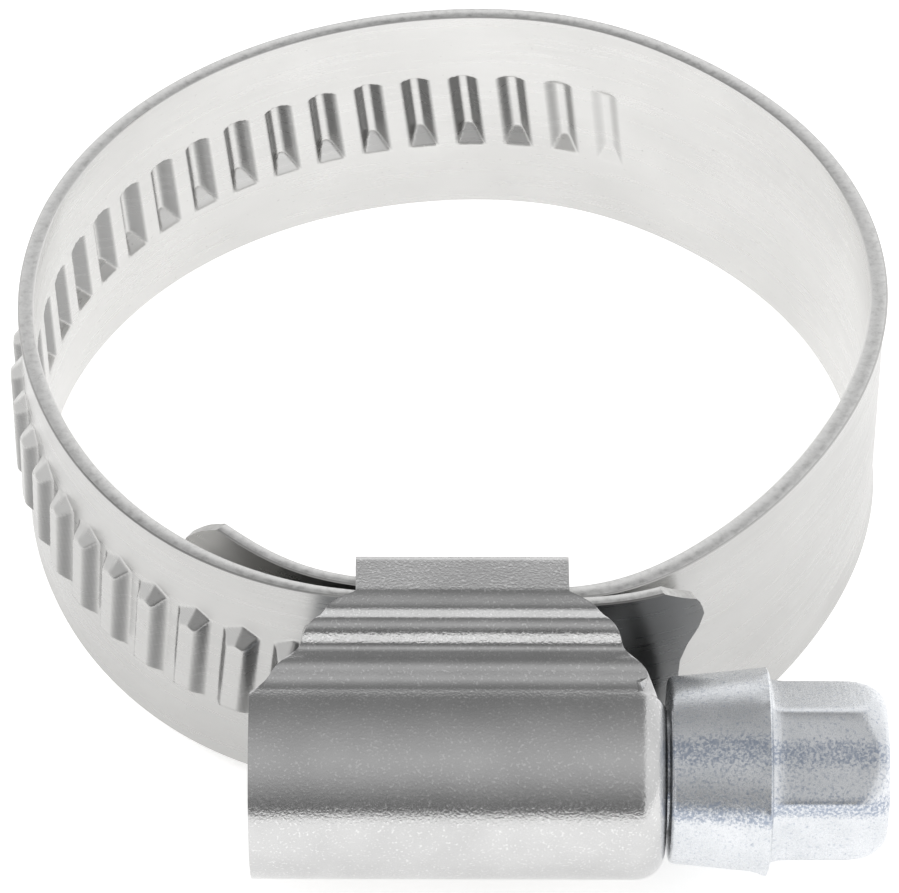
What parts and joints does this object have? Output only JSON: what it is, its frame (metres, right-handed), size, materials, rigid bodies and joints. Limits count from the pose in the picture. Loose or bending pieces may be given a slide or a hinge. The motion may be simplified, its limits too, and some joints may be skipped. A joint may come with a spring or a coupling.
{
  "type": "hose clamp",
  "caption": "Worm-drive hose clamp: embossed metal band hoop, pressed housing and worm screw with collar and hex head, shown fully opened.",
  "frame": {"origin": "centre of the hose seat: on the axis of the hose, at the middle of the band width, at the centre of the opened hoop", "axes": "+Z along the hose axis; +X along the screw axis towards the hex head; -Y from the hose axis towards the housing"},
  "size_m": [0.0399, 0.0518, 0.0128],
  "materials": {
    "band_steel": "bright rolled stainless strip",
    "housing_steel": "pressed stainless sheet, satin",
    "screw_steel": "zinc plated, satin"
  },
  "bodies": {
    "clamp_body": {"housing": "housing_steel", "band_fixed_end": "band_steel"},
    "screw": {"worm_screw": "screw_steel"},
    "tongue": {"band_tongue": "band_steel"},
    "link_01": {"band_plain_01": "band_steel"},
    "link_02": {"band_plain_02": "band_steel"},
    "link_03": {"band_plain_03": "band_steel"},
    "link_04": {"band_plain_04": "band_steel"},
    "link_05": {"band_plain_05": "band_steel"},
    "link_06": {"band_toothed_01": "band_steel"},
    "link_07": {"band_toothed_02": "band_steel"},
    "link_08": {"band_toothed_03": "band_steel"},
    "link_09": {"band_toothed_04": "band_steel"},
    "link_10": {"band_toothed_05": "band_steel"},
    "link_11": {"band_toothed_06": "band_steel"},
    "link_12": {"band_toothed_07": "band_steel"},
    "link_13": {"band_toothed_08": "band_steel"},
    "link_14": {"band_free_tip": "band_steel"}
  },
  "joints": [
    {"name": "screw_turn", "type": "hinge", "parent": "clamp_body", "child": "screw", "pos_m": [0, -0.02505, -0.0004], "axis": [-1, 0, 0], "range_deg": [0, 6390]},
    {"name": "tongue_bend", "type": "hinge", "parent": "clamp_body", "child": "tongue", "pos_m": [-0.00365, -0.01977, 0], "axis": [0, 0, 1], "range_deg": [-13.5, 0.5]},
    {"name": "band_bend_01", "type": "hinge", "parent": "clamp_body", "child": "link_01", "pos_m": [0.00471, -0.02033, 0], "axis": [0, 0, 1], "range_deg": [-0.5, 13.65]},
    {"name": "band_bend_02", "type": "hinge", "parent": "link_01", "child": "link_02", "pos_m": [0.01277, -0.01559, 0], "axis": [0, 0, 1], "range_deg": [-0.5, 10.4]},
    {"name": "band_bend_03", "type": "hinge", "parent": "link_02", "child": "link_03", "pos_m": [0.01783, -0.0075, 0], "axis": [0, 0, 1], "range_deg": [-0.5, 13.65]},
    {"name": "band_bend_04", "type": "hinge", "parent": "link_03", "child": "link_04", "pos_m": [0.01952, 0.00187, 0], "axis": [0, 0, 1], "range_deg": [-0.5, 17.58]},
    {"name": "band_bend_05", "type": "hinge", "parent": "link_04", "child": "link_05", "pos_m": [0.01709, 0.01107, 0], "axis": [0, 0, 1], "range_deg": [-0.5, 17.08]},
    {"name": "band_bend_06", "type": "hinge", "parent": "link_05", "child": "link_06", "pos_m": [0.01082, 0.01821, 0], "axis": [0, 0, 1], "range_deg": [-0.5, 12.61]},
    {"name": "band_bend_07", "type": "hinge", "parent": "link_06", "child": "link_07", "pos_m": [0.00193, 0.02137, 0], "axis": [0, 0, 1], "range_deg": [-0.5, 8.71]},
    {"name": "band_bend_08", "type": "hinge", "parent": "link_07", "child": "link_08", "pos_m": [-0.00737, 0.01941, 0], "axis": [0, 0, 1], "range_deg": [-0.5, 8.92], "deforming": ["band_toothed_03"]},
    {"name": "band_bend_09", "type": "hinge", "parent": "link_08", "child": "link_09", "pos_m": [-0.01483, 0.01352, 0], "axis": [0, 0, 1], "range_deg": [-0.5, 12.18], "deforming": ["band_toothed_04"]},
    {"name": "band_bend_10", "type": "hinge", "parent": "link_09", "child": "link_10", "pos_m": [-0.0189, 0.00493, 0], "axis": [0, 0, 1], "range_deg": [-0.5, 14.99], "deforming": ["band_toothed_05"]},
    {"name": "band_bend_11", "type": "hinge", "parent": "link_10", "child": "link_11", "pos_m": [-0.01903, -0.00459, 0], "axis": [0, 0, 1], "range_deg": [-0.5, 19.06], "deforming": ["band_toothed_06"]},
    {"name": "band_bend_12", "type": "hinge", "parent": "link_11", "child": "link_12", "pos_m": [-0.0154, -0.01339, 0], "axis": [0, 0, 1], "range_deg": [-0.5, 12.22], "deforming": ["band_toothed_07"]},
    {"name": "band_bend_13", "type": "hinge", "parent": "link_12", "child": "link_13", "pos_m": [-0.00815, -0.01948, 0], "axis": [0, 0, 1], "range_deg": [-3.4, 0.5], "deforming": ["band_toothed_08"]},
    {"name": "band_bend_14", "type": "hinge", "parent": "link_13", "child": "link_14", "pos_m": [0.00128, -0.02087, 0], "axis": [0, 0, 1], "range_deg": [-16.72, 0.5], "deforming": ["band_free_tip"]}
  ],
  "couplings": [
    {"joint": "tongue_bend", "follows": "screw_turn", "ratio": -0.0020344},
    {"joint": "band_bend_01", "follows": "screw_turn", "ratio": 0.0020578},
    {"joint": "band_bend_02", "follows": "screw_turn", "ratio": 0.0015499},
    {"joint": "band_bend_03", "follows": "screw_turn", "ratio": 0.0020584},
    {"joint": "band_bend_04", "follows": "screw_turn", "ratio": 0.0026735},
    {"joint": "band_bend_05", "follows": "screw_turn", "ratio": 0.0025944},
    {"joint": "band_bend_06", "follows": "screw_turn", "ratio": 0.001895},
    {"joint": "band_bend_07", "follows": "screw_turn", "ratio": 0.001284},
    {"joint": "band_bend_08", "follows": "screw_turn", "ratio": 0.0013178},
    {"joint": "band_bend_09", "follows": "screw_turn", "ratio": 0.0018277},
    {"joint": "band_bend_10", "follows": "screw_turn", "ratio": 0.0022681},
    {"joint": "band_bend_11", "follows": "screw_turn", "ratio": 0.0029044},
    {"joint": "band_bend_12", "follows": "screw_turn", "ratio": 0.0018338},
    {"joint": "band_bend_13", "follows": "screw_turn", "ratio": -0.0004536},
    {"joint": "band_bend_14", "follows": "screw_turn", "ratio": -0.0025387}
  ]
}
